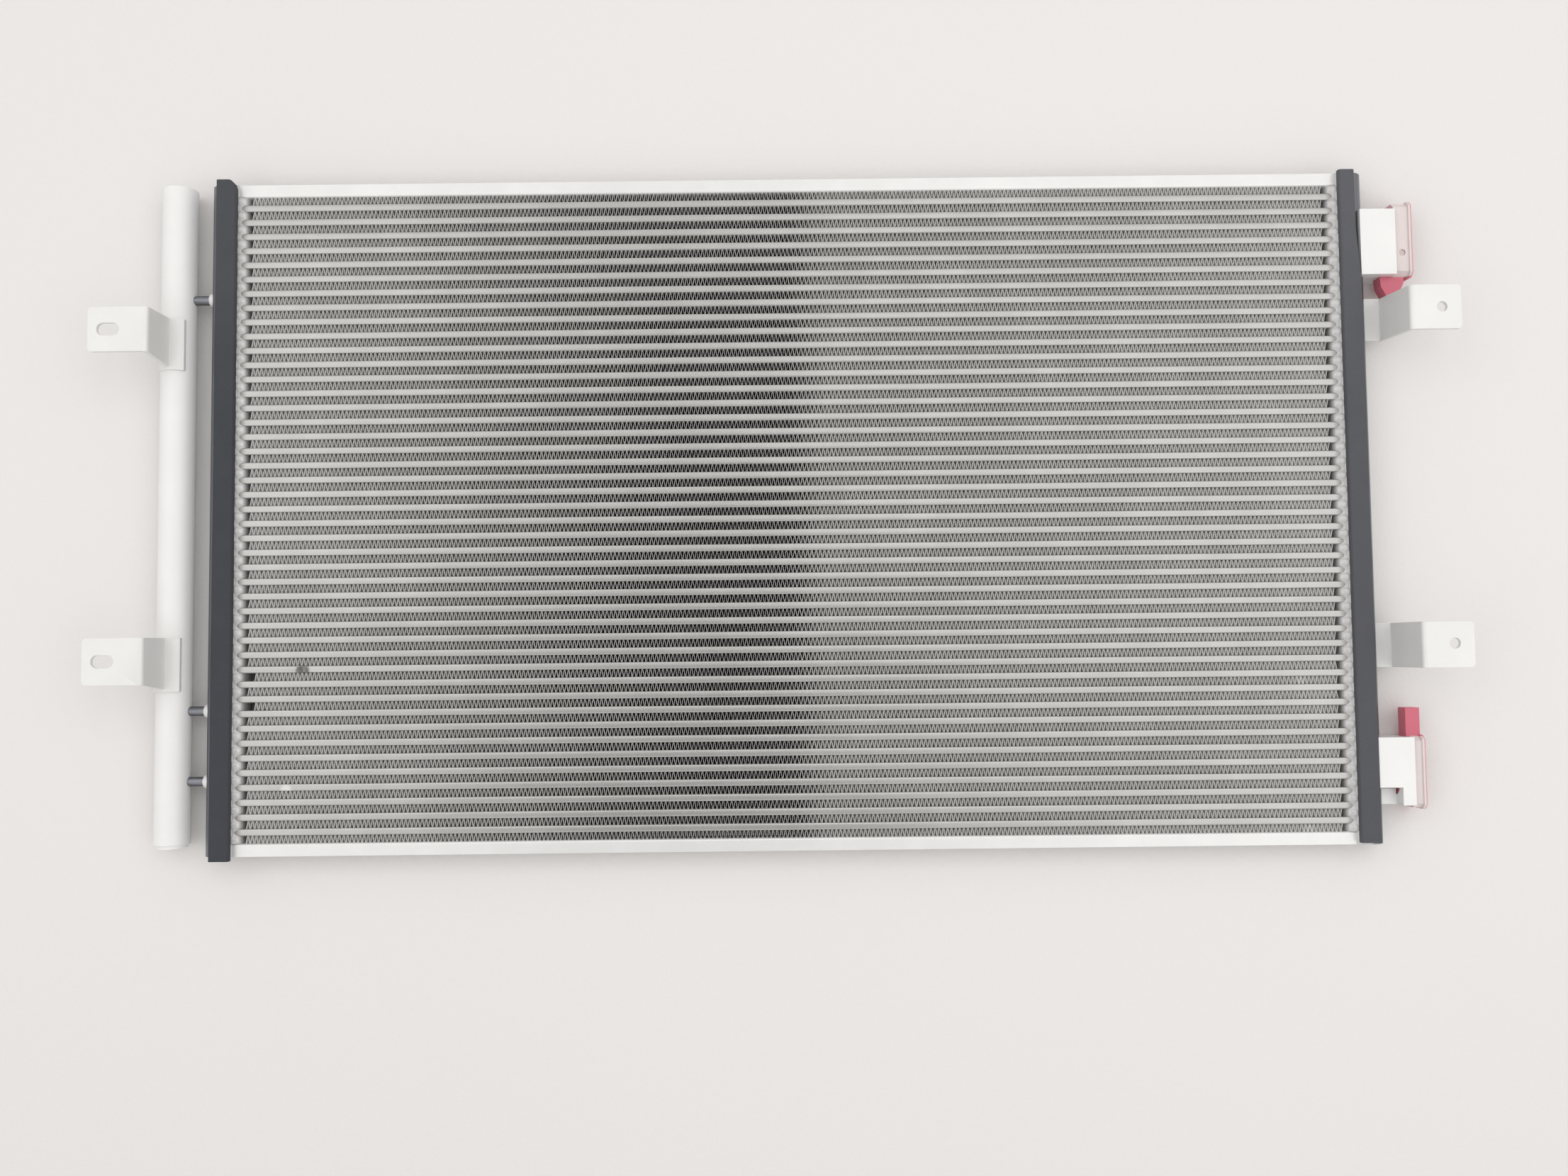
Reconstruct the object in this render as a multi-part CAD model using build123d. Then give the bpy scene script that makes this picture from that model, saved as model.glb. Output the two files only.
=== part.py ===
from build123d import *
import os

# Parallel-flow condenser coil, lying on its back with the mounting lugs facing up.
# X runs along the flat tubes, Y across them, Z through the depth of the core.
# Every piece is drawn about the middle of the core and moved to the part's own
# origin, the bottom centre of the whole coil, when it is written.

# Core
TUBE_COUNT = 44
TUBE_PITCH = 10.0
TUBE_THICK = 4.8
TUBE_DEPTH = 16.0
TUBE_NOSE_CHAMFER = 1.4
TUBE_WALL = 0.5
PASS_TUBES = (17, 12, 8, 7)
FIN_HALF_LENGTH = 372.3
FIN_DEPTH = 14.6

# Headers, each a flat slotted plate closed by a round tank
HEADER_X = 391.0
HEADER_OD = 20.0
HEADER_WALL = 1.5
HEADER_PLATE_X = 380.6
HEADER_CORNER = 1.2
HEADER_HALF_LENGTH = 231.0
HEADER_CAP_THICK = 2.5
HEADER_CAP_INSET = 0.8
TUBE_END_IN_HEADER = 5.0
BAFFLE_THICK = 1.6
BAFFLES = ((-1, 2), (-1, 3), (1, 1), (1, 3))

# Side plates
SIDE_PLATE_SHEET = 1.5
SIDE_PLATE_OUTER_Y = 231.2

# Foam seal strips
FOAM_TOP_Z = 14.0
FOAM_BOTTOM_Z = 10.0
FOAM_LEFT_X = (-394.5, -380.4)
FOAM_LEFT_Y = (-233.5, 233.5)
FOAM_LEFT_CORNER = 4.0
FOAM_RIGHT_X = (381.2, 395.4)
FOAM_RIGHT_Y = (-229.5, 232.0)
FOAM_NARROW_X = 392.4
FOAM_NARROW_Y = (152.0, 192.0)
FOAM_EDGE = 1.0

# Receiver-drier
RECEIVER_X = -425.0
RECEIVER_OD = 23.0
RECEIVER_WALL = 1.5
RECEIVER_Y = (-223.0, 228.0)
RECEIVER_END_DISC = 2.5
PLUG_THREAD_LENGTH = 14.0
PLUG_SOCKET = 8.0
O_RING_SECTION = 2.0
FILTER_LENGTH = 30.0
FILTER_CLEARANCE = 1.5
BAG_LENGTH = 180.0
BAG_CLEARANCE = 1.0
SUPPORT_Y = 152.5
TO_RECEIVER_Y = -133.0
FROM_RECEIVER_Y = -181.0
BRIDGE_OD = 6.5
BRIDGE_BORE = 4.0

# Mounting brackets
LUG_SHEET = 3.0
LUG_TOP_Z = 43.0
LUG_BEND_R = 3.0
LUG_CORNER = 1.8
LEFT_LUG_OUTER_X = -464.7
LEFT_RISER_X = -425.0
LEFT_SLOT_X = -451.3
LEFT_SLOT_LENGTH = 15.0
LEFT_SLOT_WIDTH = 8.5
LEFT_FOOT_FLARE = 5.5
LEFT_LUG_Y = ((106.8, 136.8), (-113.8, -82.8))
RIGHT_LUG_OUTER_X = 446.2
RIGHT_RISER_X = 412.5
RIGHT_FOOT_Z = -3.0
RIGHT_HOLE_X = 433.3
RIGHT_HOLE_D = 7.0
RIGHT_HOLE_Y = (127.0, -96.0)
RIGHT_LUG_Y = ((112.2, 141.8), (-112.0, -81.6))
RIGHT_FOOT_SHIFT = (3.0, 0.0)
SADDLE_THICK = 2.0

# Connection blocks and their dust caps
BLOCK_OUTER_X = 419.8
BLOCK_BOTTOM_Z = -RECEIVER_OD / 2
BLOCK_TOP_Z = 12.5
INLET_BLOCK_Y = (158.6, 204.4)
OUTLET_BLOCK_Y = (-205.0, -159.2)
PORT_D = 16.0
PORT_DEPTH = 9.0
PASSAGE_D = 9.0
STUD_HOLE_D = 6.8
STUD_HOLE_DEPTH = 13.0
PORT_FROM_MIDDLE = 9.0
STUD_FROM_MIDDLE = -13.5
NOTCH_X = 411.0
NOTCH_LENGTH = 12.0
NOTCH_Z = 3.0
INLET_CAP_OUTER_X = 432.0
INLET_CAP_LIP = 5.0
INLET_TAB_X = (411.0, 428.0)
INLET_TAB_LENGTH = 13.2
OUTLET_CAP_OUTER_X = 428.0
OUTLET_CAP_LIP = 2.0
OUTLET_TAB_X = (417.3, 427.0)
OUTLET_TAB_LENGTH = 19.6
CAP_HALF_HEIGHT = 9.5
CAP_WALL = 2.0
CAP_RIM = 1.2
CAP_CORNER = 3.0
CAP_TAB_Z = (-4.0, 6.0)
CAP_VENT = (425.5, 174.5)
CAP_VENT_D = 4.5
SPIGOT_CLEARANCE = 0.15

# Worked out from the sizes above
HEADER_R = HEADER_OD / 2
RECEIVER_R = RECEIVER_OD / 2
FIN_GAP = TUBE_PITCH - TUBE_THICK
FIRST_TUBE_Y = TUBE_PITCH * (TUBE_COUNT - 1) / 2
SHIFT_X = -(LEFT_LUG_OUTER_X + RIGHT_LUG_OUTER_X) / 2
SHIFT_Z = RECEIVER_R
INLET_PORT_Y = sum(INLET_BLOCK_Y) / 2 + PORT_FROM_MIDDLE
OUTLET_PORT_Y = sum(OUTLET_BLOCK_Y) / 2 - PORT_FROM_MIDDLE
LEFT_HEADER_PORTS = ((TO_RECEIVER_Y, BRIDGE_BORE), (FROM_RECEIVER_Y, BRIDGE_BORE))
RIGHT_HEADER_PORTS = ((INLET_PORT_Y, PASSAGE_D), (OUTLET_PORT_Y, PASSAGE_D))


def tube_y(number):
    """Middle of a flat tube, counted from 1 at the top."""
    return FIRST_TUBE_Y - TUBE_PITCH * (number - 1)


def along_y(radius, y_low, y_high, x=0.0, z=0.0):
    """Round bar with its axis along Y and its seam at the back."""
    bar = extrude(Plane.XZ * Circle(radius), y_high - y_low, dir=(0, 1, 0))
    return Pos(x, y_low, z) * Rot(0, 90, 0) * bar


def along_x(radius, x_low, x_high, y=0.0, z=0.0):
    """Round bar with its axis along X."""
    bar = extrude(Plane.YZ * Circle(radius), x_high - x_low, dir=(1, 0, 0))
    return Pos(x_low, y, z) * bar


def block(x, y, z):
    """Square block between a low and a high value on each axis."""
    size = [high - low for low, high in (x, y, z)]
    middle = [(low + high) / 2 for low, high in (x, y, z)]
    return Pos(*middle) * Box(*size)


def flat_tube(number, hollow=True):
    """Extruded flat tube with blunt noses, open inside."""
    half = HEADER_PLATE_X + TUBE_END_IN_HEADER
    section = Rectangle(TUBE_THICK, TUBE_DEPTH)
    section = chamfer(section.vertices(), TUBE_NOSE_CHAMFER)
    if hollow:
        section -= Rectangle(TUBE_THICK - 2 * TUBE_WALL, TUBE_DEPTH - 2 * TUBE_NOSE_CHAMFER)
    bar = extrude(Plane.YZ * section, 2 * half, dir=(1, 0, 0))
    return Pos(-half, tube_y(number), 0) * bar


def fin_row(upper_tube):
    """Envelope of one fin strip, brazed to the tubes above and below it."""
    y = tube_y(upper_tube) - TUBE_PITCH / 2
    return Pos(0, y, 0) * Box(2 * FIN_HALF_LENGTH, FIN_GAP, FIN_DEPTH)


def header_section(inset=0.0):
    """Section of the right header: a flat plate towards the tubes, round outside."""
    radius = HEADER_R - inset
    depth = HEADER_X - HEADER_PLATE_X - inset
    return Circle(radius) + Pos(-depth / 2, 0) * Rectangle(depth, 2 * radius)


def header_outline():
    """Outer section, with the corners of the plate taken off."""
    section = header_section()
    return chamfer(section.vertices().group_by(Axis.X)[0], HEADER_CORNER)


def header_bore():
    """Inner section, which the end caps and baffles fill."""
    return header_section(HEADER_WALL)


def header_bar(section, y_low, y_high, side=1):
    """Bar of a section of the right header, or its mirror image for the left one."""
    bar = Pos(HEADER_X, y_low, 0) * extrude(Plane.XZ * section, y_high - y_low, dir=(0, 1, 0))
    return bar if side > 0 else mirror(bar, Plane.YZ)


def core_passes():
    """Tubes and fin strips, one node of each for every refrigerant pass."""
    nodes = {}
    first = 1
    for index, count in enumerate(PASS_TUBES, start=1):
        last = first + count - 1
        tubes = [flat_tube(number) for number in range(first, last + 1)]
        top_fin = 0 if index == 1 else first
        fins = [fin_row(number) for number in range(top_fin, last + 1)]
        nodes[f"flat_tubes_pass_{index}"] = Compound(children=tubes)
        nodes[f"fin_strips_pass_{index}"] = Compound(children=fins)
        first = last + 1
    return nodes


def side_plate(side):
    """Folded channel that closes the core; its flanges stand outward."""
    web_y = FIRST_TUBE_Y + TUBE_THICK / 2 + FIN_GAP
    half = HEADER_PLATE_X
    outer = block((-half, half), (web_y, SIDE_PLATE_OUTER_Y), (-TUBE_DEPTH / 2, TUBE_DEPTH / 2))
    outer = fillet(outer.edges().filter_by(Axis.X).group_by(Axis.Y)[0], SIDE_PLATE_SHEET)
    trough_z = TUBE_DEPTH / 2 - SIDE_PLATE_SHEET
    trough_y = (web_y + SIDE_PLATE_SHEET, SIDE_PLATE_OUTER_Y)
    plate = outer - block((-half, half), trough_y, (-trough_z, trough_z))
    return plate if side > 0 else mirror(plate, Plane.XZ)


def header(side, port_heights):
    """Manifold with a slot for every flat tube and ports in its outer wall."""
    section = header_outline() - header_bore()
    shell = header_bar(section, -HEADER_HALF_LENGTH, HEADER_HALF_LENGTH)
    shell -= [flat_tube(number, hollow=False) for number in range(1, TUBE_COUNT + 1)]
    for y, diameter in port_heights:
        shell -= along_x(diameter / 2, HEADER_X, HEADER_X + HEADER_R + 1, y)
    return shell if side > 0 else mirror(shell, Plane.YZ)


def header_end_caps():
    """Plates pressed into both ends of each header, a little below its rim."""
    outer_y = HEADER_HALF_LENGTH - HEADER_CAP_INSET
    caps = []
    for side in (-1, 1):
        cap = header_bar(header_bore(), outer_y - HEADER_CAP_THICK, outer_y, side)
        caps += [cap, mirror(cap, Plane.XZ)]
    return Compound(children=caps)


def header_baffles():
    """Plates that part the refrigerant passes inside the headers."""
    plates = []
    for side, passes_above in BAFFLES:
        y = tube_y(sum(PASS_TUBES[:passes_above])) - TUBE_PITCH / 2
        half = BAFFLE_THICK / 2
        plates.append(header_bar(header_bore(), y - half, y + half, side))
    return Compound(children=plates)


def foam_left():
    """Foam strip on the left header, with the inner top corner cut off."""
    x_low, x_high = FOAM_LEFT_X
    y_low, y_high = FOAM_LEFT_Y
    cut = FOAM_LEFT_CORNER
    outline = Polyline(
        (x_low, y_low),
        (x_high, y_low),
        (x_high, y_high - cut),
        (x_high - cut, y_high),
        (x_low, y_high),
        close=True,
    )
    return foam_strip(make_face(outline))


def foam_right():
    """Foam strip on the right header, narrower beside the inlet block."""
    x_low, x_high = FOAM_RIGHT_X
    y_low, y_high = FOAM_RIGHT_Y
    outline = Polyline(
        (x_low, y_low),
        (x_high, y_low),
        (x_high, FOAM_NARROW_Y[0]),
        (FOAM_NARROW_X, FOAM_NARROW_Y[1]),
        (FOAM_NARROW_X, y_high),
        (x_low, y_high),
        close=True,
    )
    return foam_strip(make_face(outline))


def foam_strip(face):
    """Foam cut to an outline and stuck on the level side of a header."""
    strip = extrude(Pos(0, 0, FOAM_BOTTOM_Z) * face, FOAM_TOP_Z - FOAM_BOTTOM_Z, dir=(0, 0, 1))
    return chamfer(strip.edges().filter_by(Axis.Y).group_by(Axis.Z)[-1], FOAM_EDGE)


def receiver_tube():
    """Tube that stores and dries the liquid, with two ports towards the header."""
    bore = RECEIVER_R - RECEIVER_WALL
    tube = along_y(RECEIVER_R, *RECEIVER_Y, RECEIVER_X)
    tube -= along_y(bore, *RECEIVER_Y, RECEIVER_X)
    for y in (TO_RECEIVER_Y, FROM_RECEIVER_Y):
        tube -= along_x(BRIDGE_BORE / 2, RECEIVER_X, RECEIVER_X + RECEIVER_R + 1, y)
    return tube


def receiver_top_cap():
    """Cap welded into the top of the receiver."""
    top = RECEIVER_Y[1]
    return along_y(RECEIVER_R, top, top + RECEIVER_END_DISC, RECEIVER_X)


def receiver_plug():
    """Screwed plug with a hexagon socket and a nose that carries its seal."""
    low = RECEIVER_Y[0] - RECEIVER_END_DISC
    step = RECEIVER_Y[0] + PLUG_THREAD_LENGTH - O_RING_SECTION
    bore = RECEIVER_R - RECEIVER_WALL
    plug = along_y(bore, low, step, RECEIVER_X)
    plug += along_y(bore - O_RING_SECTION, step, step + O_RING_SECTION, RECEIVER_X)
    hexagon = RegularPolygon(PLUG_SOCKET / 2, 6, major_radius=False)
    socket = extrude(Plane.XZ * hexagon, PLUG_SOCKET, dir=(0, 1, 0))
    return plug - Pos(RECEIVER_X, low, 0) * socket


def plug_o_ring():
    """Rubber ring, squeezed square between the plug's nose and the receiver."""
    bore = RECEIVER_R - RECEIVER_WALL
    low = RECEIVER_Y[0] + PLUG_THREAD_LENGTH - O_RING_SECTION
    ends = (low, low + O_RING_SECTION)
    return along_y(bore, *ends, RECEIVER_X) - along_y(bore - O_RING_SECTION, *ends, RECEIVER_X)


def receiver_filter():
    """Filter cartridge standing on the plug."""
    low = RECEIVER_Y[0] + PLUG_THREAD_LENGTH
    radius = RECEIVER_R - RECEIVER_WALL - FILTER_CLEARANCE
    return along_y(radius, low, low + FILTER_LENGTH, RECEIVER_X)


def desiccant_bag():
    """Closed bag of drying beads above the filter."""
    low = RECEIVER_Y[0] + PLUG_THREAD_LENGTH + FILTER_LENGTH
    radius = RECEIVER_R - RECEIVER_WALL - BAG_CLEARANCE
    return along_y(radius, low, low + BAG_LENGTH, RECEIVER_X)


def bridge(y, bored):
    """Turned neck between the receiver and the header."""
    neck = along_x(BRIDGE_OD / 2, RECEIVER_X, -HEADER_X, y)
    neck -= along_y(HEADER_R, y - BRIDGE_OD, y + BRIDGE_OD, -HEADER_X)
    neck -= along_y(RECEIVER_R, y - BRIDGE_OD, y + BRIDGE_OD, RECEIVER_X)
    if bored:
        neck -= along_x(BRIDGE_BORE / 2, RECEIVER_X, -HEADER_X, y)
    return neck


def left_bracket(y):
    """Lug with a slot, bent down to a saddle brazed over the receiver."""
    low, high = y
    top = LUG_TOP_Z
    riser = (LEFT_RISER_X - LUG_SHEET, LEFT_RISER_X)
    foot_low = low - LEFT_FOOT_FLARE
    plate = block((LEFT_LUG_OUTER_X, riser[1]), y, (top - LUG_SHEET, top))
    wall = extrude(
        Plane.YZ * Polygon((foot_low, 0), (high, 0), (high, top), (low, top), align=None),
        LUG_SHEET,
        dir=(1, 0, 0),
    )
    body = plate + Pos(riser[0], 0, 0) * wall
    bend = body.edges().filter_by(Axis.Y).sort_by(Axis.Z)[-2:].sort_by(Axis.X)[-1]
    body = fillet(bend, LUG_BEND_R)
    corners = body.edges().filter_by(Axis.Z).group_by(Axis.X)[0]
    body = chamfer(corners, LUG_CORNER)
    slot = extrude(SlotOverall(LEFT_SLOT_LENGTH, LEFT_SLOT_WIDTH), LUG_SHEET, dir=(0, 0, 1))
    body -= Pos(LEFT_SLOT_X, (low + high) / 2, top - LUG_SHEET) * slot
    saddle = along_y(RECEIVER_R + SADDLE_THICK, foot_low, high, RECEIVER_X)
    window = block(
        (RECEIVER_X - RECEIVER_R * 0.75, RECEIVER_X + RECEIVER_R * 0.75),
        (foot_low, high),
        (0, RECEIVER_R + SADDLE_THICK),
    )
    body += saddle & window
    return body - along_y(RECEIVER_R, foot_low - 1, high + 1, RECEIVER_X)


def right_bracket(y, hole_y, foot_shift):
    """Lug with a round hole, bent down to a foot brazed against the header."""
    low, high = y
    top = LUG_TOP_Z
    foot_low, foot_high = low + foot_shift, high + foot_shift
    foot_top = RIGHT_FOOT_Z + LUG_SHEET
    plate = block((RIGHT_RISER_X, RIGHT_LUG_OUTER_X), y, (top - LUG_SHEET, top))
    outline = Polygon(
        (foot_low, RIGHT_FOOT_Z),
        (foot_high, RIGHT_FOOT_Z),
        (high, top),
        (low, top),
        align=None,
    )
    wall = extrude(Plane.YZ * outline, LUG_SHEET, dir=(1, 0, 0))
    foot = block((HEADER_X, RIGHT_RISER_X + LUG_SHEET), (foot_low, foot_high), (RIGHT_FOOT_Z, foot_top))
    body = plate + Pos(RIGHT_RISER_X, 0, 0) * wall + foot
    bend = body.edges().filter_by(Axis.Y).sort_by(Axis.Z)[-2:].sort_by(Axis.X)[0]
    body = fillet(bend, LUG_BEND_R)
    corners = body.edges().filter_by(Axis.Z).group_by(Axis.X)[-1]
    body = chamfer(corners, LUG_CORNER)
    hole = extrude(Circle(RIGHT_HOLE_D / 2), LUG_SHEET, dir=(0, 0, 1))
    body -= Pos(RIGHT_HOLE_X, hole_y, top - LUG_SHEET) * hole
    return body - along_y(HEADER_R, foot_low - 1, foot_high + 1, HEADER_X)


def connection_block(y, port_side, notch=False):
    """Machined block with a port, a stud hole and a passage to the header."""
    low, high = y
    middle = (low + high) / 2
    inner_x = HEADER_X + HEADER_R * 0.45
    body = block((inner_x, BLOCK_OUTER_X), y, (BLOCK_BOTTOM_Z, BLOCK_TOP_Z))
    body -= along_y(HEADER_R, low - 1, high + 1, HEADER_X)
    if notch:
        body -= block((inner_x, NOTCH_X), (low, low + NOTCH_LENGTH), (NOTCH_Z, BLOCK_TOP_Z))
    port_y = middle + port_side * PORT_FROM_MIDDLE
    stud_y = middle + port_side * STUD_FROM_MIDDLE
    body -= along_x(PORT_D / 2, BLOCK_OUTER_X - PORT_DEPTH, BLOCK_OUTER_X, port_y)
    body -= along_x(PASSAGE_D / 2, HEADER_X, BLOCK_OUTER_X, port_y)
    body -= along_x(STUD_HOLE_D / 2, BLOCK_OUTER_X - STUD_HOLE_DEPTH, BLOCK_OUTER_X, stud_y)
    return body


def dust_cap(y, port_side, outer_x, lip, tab):
    """Moulded transit cap: a tray with a spigot in the port and a pull tab."""
    low, high = y
    port_y = (low + high) / 2 + port_side * PORT_FROM_MIDDLE
    if port_side > 0:
        ends = (low, high + lip)
    else:
        ends = (low - lip, high)
    half = CAP_HALF_HEIGHT
    tray = tray_box(BLOCK_OUTER_X, outer_x, ends, half, CAP_CORNER)
    rim_ends = (ends[0] - CAP_RIM, ends[1] + CAP_RIM)
    tray += tray_box(outer_x - CAP_WALL, outer_x, rim_ends, half + CAP_RIM, CAP_CORNER)
    inner_ends = (ends[0] + CAP_WALL, ends[1] - CAP_WALL)
    inner_corner = CAP_CORNER - CAP_WALL / 2
    tray -= tray_box(BLOCK_OUTER_X + CAP_WALL, outer_x, inner_ends, half - CAP_WALL, inner_corner)
    spigot_x = BLOCK_OUTER_X - PORT_DEPTH + 1
    spigot_r = PORT_D / 2 - SPIGOT_CLEARANCE
    tray += along_x(spigot_r, spigot_x, BLOCK_OUTER_X, port_y)
    ear = make_face(Polyline(*tab, close=True))
    ear = extrude(Pos(0, 0, CAP_TAB_Z[0]) * ear, CAP_TAB_Z[1] - CAP_TAB_Z[0], dir=(0, 0, 1))
    return tray + ear


def tray_box(x_low, x_high, y, half_height, corner):
    """Box for a tray, with its corners taken off along its depth."""
    box = block((x_low, x_high), y, (-half_height, half_height))
    return chamfer(box.edges().filter_by(Axis.X), corner)


def inlet_dust_cap():
    """Cap on the inlet block, with a rounded tab and a vent in its upper wall."""
    low = INLET_BLOCK_Y[0]
    tab = (
        (INLET_TAB_X[0], low),
        (INLET_TAB_X[1], low),
        (INLET_TAB_X[1] - 1, low - 0.4 * INLET_TAB_LENGTH),
        (INLET_TAB_X[1] - 5, low - INLET_TAB_LENGTH),
        (INLET_TAB_X[0] + 4, low - INLET_TAB_LENGTH),
        (INLET_TAB_X[0] + 0.5, low - 0.5 * INLET_TAB_LENGTH),
    )
    cap = dust_cap(INLET_BLOCK_Y, 1, INLET_CAP_OUTER_X, INLET_CAP_LIP, tab)
    vent = extrude(Circle(CAP_VENT_D / 2), CAP_HALF_HEIGHT, dir=(0, 0, 1))
    return cap - Pos(*CAP_VENT, 2) * vent


def outlet_dust_cap():
    """Cap on the outlet block, with a straight tab."""
    high = OUTLET_BLOCK_Y[1]
    tab = (
        (OUTLET_TAB_X[0], high),
        (OUTLET_TAB_X[1], high),
        (OUTLET_TAB_X[1], high + OUTLET_TAB_LENGTH),
        (OUTLET_TAB_X[0], high + OUTLET_TAB_LENGTH),
    )
    return dust_cap(OUTLET_BLOCK_Y, -1, OUTLET_CAP_OUTER_X, OUTLET_CAP_LIP, tab)


def write(nodes):
    """Move each node to the part's origin and write it to its own file."""
    os.makedirs("parts", exist_ok=True)
    for name, shape in nodes.items():
        export_step(Pos(SHIFT_X, 0, SHIFT_Z) * shape, f"parts/{name}.step")


def condenser_coil():
    """All the pieces of the coil by name."""
    nodes = core_passes()
    nodes["side_plate_top"] = side_plate(1)
    nodes["side_plate_bottom"] = side_plate(-1)
    nodes["header_left"] = header(-1, LEFT_HEADER_PORTS)
    nodes["header_right"] = header(1, RIGHT_HEADER_PORTS)
    nodes["header_end_caps"] = header_end_caps()
    nodes["header_baffles"] = header_baffles()
    nodes["foam_strip_left"] = foam_left()
    nodes["foam_strip_right"] = foam_right()
    nodes["receiver_tube"] = receiver_tube()
    nodes["receiver_top_cap"] = receiver_top_cap()
    nodes["receiver_plug"] = receiver_plug()
    nodes["plug_o_ring"] = plug_o_ring()
    nodes["receiver_filter"] = receiver_filter()
    nodes["desiccant_bag"] = desiccant_bag()
    nodes["receiver_support"] = bridge(SUPPORT_Y, bored=False)
    nodes["neck_to_receiver"] = bridge(TO_RECEIVER_Y, bored=True)
    nodes["neck_from_receiver"] = bridge(FROM_RECEIVER_Y, bored=True)
    nodes["bracket_left_upper"] = left_bracket(LEFT_LUG_Y[0])
    nodes["bracket_left_lower"] = left_bracket(LEFT_LUG_Y[1])
    for place, y, hole_y, shift in zip(
        ("upper", "lower"), RIGHT_LUG_Y, RIGHT_HOLE_Y, RIGHT_FOOT_SHIFT
    ):
        nodes[f"bracket_right_{place}"] = right_bracket(y, hole_y, shift)
    nodes["inlet_block"] = connection_block(INLET_BLOCK_Y, 1)
    nodes["outlet_block"] = connection_block(OUTLET_BLOCK_Y, -1, notch=True)
    nodes["inlet_dust_cap"] = inlet_dust_cap()
    nodes["outlet_dust_cap"] = outlet_dust_cap()
    return nodes


write(condenser_coil())
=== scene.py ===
# %% [markdown]
# # A parallel-flow condenser coil, seen from above
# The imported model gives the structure: headers, tubes, receiver, brackets and blocks at
# their real size. This lesson adds what the eye sees on top of it: folded fins, soft tube
# noses, the pressed lands of the headers, braze collars, cut foam, softened edges and a
# finish for every piece. Everything is in metres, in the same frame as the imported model,
# so nothing has to be fitted.

import math
import random

import bmesh
import bpy
from mathutils import Matrix, Vector, noise


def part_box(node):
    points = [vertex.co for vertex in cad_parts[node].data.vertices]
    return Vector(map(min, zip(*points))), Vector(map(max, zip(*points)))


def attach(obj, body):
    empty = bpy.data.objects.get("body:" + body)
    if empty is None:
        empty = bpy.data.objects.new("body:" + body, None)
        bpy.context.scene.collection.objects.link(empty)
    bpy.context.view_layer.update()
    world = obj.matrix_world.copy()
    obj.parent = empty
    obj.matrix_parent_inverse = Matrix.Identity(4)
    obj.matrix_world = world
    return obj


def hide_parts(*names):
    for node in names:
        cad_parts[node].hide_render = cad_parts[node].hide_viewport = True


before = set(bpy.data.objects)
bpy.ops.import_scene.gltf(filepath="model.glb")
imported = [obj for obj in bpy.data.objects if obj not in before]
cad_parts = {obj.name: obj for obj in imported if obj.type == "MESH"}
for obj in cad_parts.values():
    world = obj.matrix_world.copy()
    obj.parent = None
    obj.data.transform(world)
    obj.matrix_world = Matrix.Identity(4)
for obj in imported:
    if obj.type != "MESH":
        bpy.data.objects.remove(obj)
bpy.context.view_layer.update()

# %% [markdown]
# A few sizes are needed again and again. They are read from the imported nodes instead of
# being typed in, so the looks follow the model when a size changes there. Only what the
# nodes can't say, such as how many tubes each pass has, is a number of its own.

# %% Sizes of the core, read from the frame
MM = 0.001
PASS_TUBES = (17, 12, 8, 7)
TUBE_COUNT = sum(PASS_TUBES)
PASSES = range(1, len(PASS_TUBES) + 1)
TUBES = [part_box(f"flat_tubes_pass_{index}") for index in PASSES]
FINS = [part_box(f"fin_strips_pass_{index}") for index in PASSES]
TUBE_LOW_X, TUBE_HIGH_X = TUBES[0][0].x, TUBES[0][1].x
TUBE_BACK_Z, TUBE_FRONT_Z = TUBES[0][0].z, TUBES[0][1].z
TUBE_TOP_Y = TUBES[0][1].y
FIN_LOW_X, FIN_HIGH_X = FINS[0][0].x, FINS[0][1].x
FIN_BACK_Z, FIN_FRONT_Z = FINS[0][0].z, FINS[0][1].z
CORE_TOP_Y, CORE_LOW_Y = FINS[0][1].y, FINS[-1][0].y
CORE_X = (TUBE_LOW_X + TUBE_HIGH_X) / 2
CORE_Z = (TUBE_BACK_Z + TUBE_FRONT_Z) / 2
FIN_GAP = CORE_TOP_Y - TUBE_TOP_Y
TUBE_PITCH = (CORE_TOP_Y - CORE_LOW_Y - FIN_GAP) / TUBE_COUNT
TUBE_THICK = TUBE_PITCH - FIN_GAP


def tube_y(number):
    """Height on the picture of a tube's middle, counted from 1 at the top."""
    return TUBE_TOP_Y - TUBE_THICK / 2 - TUBE_PITCH * (number - 1)


def fin_y(upper_tube):
    """Middle of the fin strip under a tube; 0 is the strip above the first tube."""
    return tube_y(upper_tube) - TUBE_PITCH / 2


print("tube pitch", round(TUBE_PITCH / MM, 2), "mm, thickness", round(TUBE_THICK / MM, 2), "mm")

# %% [markdown]
# ## Camera
# The photograph was taken from above, a little below the middle of the coil and tipped by
# three degrees. Its place was worked out from the straight tube rows and the corners of
# the coil. A camera object takes a place, a turn about one axis and a focal length; the
# focal length is known in pixels of the photograph, and Blender wants it in millimetres
# of a 36 mm wide sensor.

# %% Camera
PHOTO_WIDTH, PHOTO_HEIGHT = 2212, 1659
FOCAL_PIXELS = 1725
SENSOR_WIDTH = 36.0
CAMERA_PLACE = Vector((3.77, -96.11, 854.45)) * MM
CAMERA_TURN = Vector((2.939, -0.009, -0.646)) * math.radians(1)


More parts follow.
